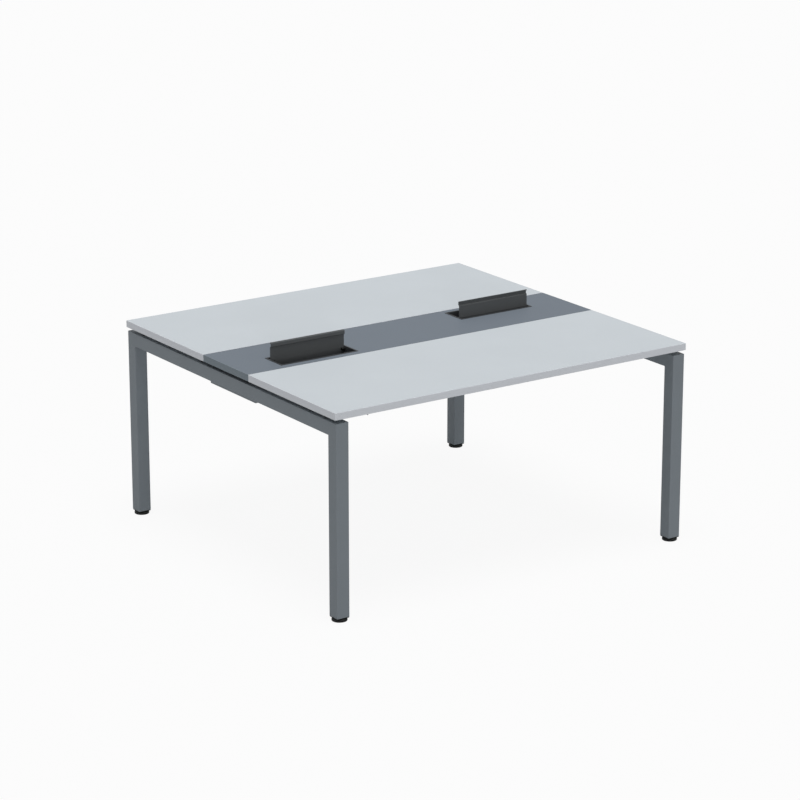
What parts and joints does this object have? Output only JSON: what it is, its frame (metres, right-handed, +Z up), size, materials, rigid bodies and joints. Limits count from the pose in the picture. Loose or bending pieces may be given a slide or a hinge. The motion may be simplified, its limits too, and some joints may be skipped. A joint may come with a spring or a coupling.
{
  "type": "benching desk for two",
  "caption": "Face-to-face benching desk with pale worktops, a grey cable spine with hinged flaps, a square-tube steel frame, a cable tray and levelling feet.",
  "frame": {"origin": "on the floor under the middle of the desk", "axes": "+X along the worktops to the near user's right, +Y from the near user to the far user, +Z up"},
  "size_m": [1.5, 1.4, 0.807],
  "materials": {
    "worktop_laminate": "pale grey melamine on chipboard",
    "worktop_edge": "pale grey edge band",
    "spine_laminate": "mid grey melamine on chipboard",
    "spine_edge": "mid grey edge band",
    "frame_coat": "mid grey powder coat",
    "flap_frame": "dark grey moulded",
    "lid_charcoal": "charcoal satin coat",
    "black_plastic": "black moulded",
    "zinc_steel": "bright zinc plate"
  },
  "bodies": {
    "desk": {"worktop_near": "worktop_laminate", "worktop_far": "worktop_laminate", "spine_panel": "spine_laminate", "edge_band_near": "worktop_edge", "edge_band_far": "worktop_edge", "edge_band_spine": "spine_edge", "leg_left_near": "frame_coat", "leg_left_far": "frame_coat", "leg_right_near": "frame_coat", "leg_right_far": "frame_coat", "end_rail_left": "frame_coat", "end_rail_right": "frame_coat", "beam_near": "frame_coat", "beam_far": "frame_coat", "support_arm_near": "frame_coat", "support_arm_far": "frame_coat", "spine_tie_left": "frame_coat", "spine_tie_middle": "frame_coat", "spine_tie_right": "frame_coat", "cable_tray": "frame_coat", "leg_plug_left_near": "black_plastic", "leg_plug_left_far": "black_plastic", "leg_plug_right_near": "black_plastic", "leg_plug_right_far": "black_plastic", "rail_spacer_left_near_front": "black_plastic", "rail_spacer_left_near_back": "black_plastic", "rail_spacer_left_near_spine": "black_plastic", "rail_spacer_left_far_front": "black_plastic", "rail_spacer_left_far_back": "black_plastic", "rail_spacer_left_far_spine": "black_plastic", "rail_spacer_right_near_front": "black_plastic", "rail_spacer_right_near_back": "black_plastic", "rail_spacer_right_near_spine": "black_plastic", "rail_spacer_right_far_front": "black_plastic", "rail_spacer_right_far_back": "black_plastic", "rail_spacer_right_far_spine": "black_plastic", "beam_spacer_left_near": "black_plastic", "beam_spacer_left_far": "black_plastic", "beam_spacer_right_near": "black_plastic", "beam_spacer_right_far": "black_plastic", "flap_collar_left": "flap_frame", "flap_collar_right": "flap_frame", "flap_pin_left_a": "zinc_steel", "flap_pin_left_b": "zinc_steel", "flap_pin_right_a": "zinc_steel", "flap_pin_right_b": "zinc_steel"},
    "lid_left": {"flap_lid_left": "lid_charcoal"},
    "lid_right": {"flap_lid_right": "lid_charcoal"},
    "foot_left_near": {"foot_pad_left_near": "black_plastic", "foot_stud_left_near": "zinc_steel"},
    "foot_left_far": {"foot_pad_left_far": "black_plastic", "foot_stud_left_far": "zinc_steel"},
    "foot_right_near": {"foot_pad_right_near": "black_plastic", "foot_stud_right_near": "zinc_steel"},
    "foot_right_far": {"foot_pad_right_far": "black_plastic", "foot_stud_right_far": "zinc_steel"}
  },
  "joints": [
    {"name": "lid_left_hinge", "type": "hinge", "parent": "desk", "child": "lid_left", "pos_m": [-0.4335, -0.04298, 0.738], "axis": [1, 0, 0], "range_deg": [0, 90]},
    {"name": "lid_right_hinge", "type": "hinge", "parent": "desk", "child": "lid_right", "pos_m": [0.4335, 0.04298, 0.738], "axis": [-1, 0, 0], "range_deg": [0, 90]},
    {"name": "foot_left_near_screw", "type": "slide", "parent": "desk", "child": "foot_left_near", "axis": [0, 0, -1], "range_m": [0, 0.015]},
    {"name": "foot_left_far_screw", "type": "slide", "parent": "desk", "child": "foot_left_far", "axis": [0, 0, -1], "range_m": [0, 0.015]},
    {"name": "foot_right_near_screw", "type": "slide", "parent": "desk", "child": "foot_right_near", "axis": [0, 0, -1], "range_m": [0, 0.015]},
    {"name": "foot_right_far_screw", "type": "slide", "parent": "desk", "child": "foot_right_far", "axis": [0, 0, -1], "range_m": [0, 0.015]}
  ]
}
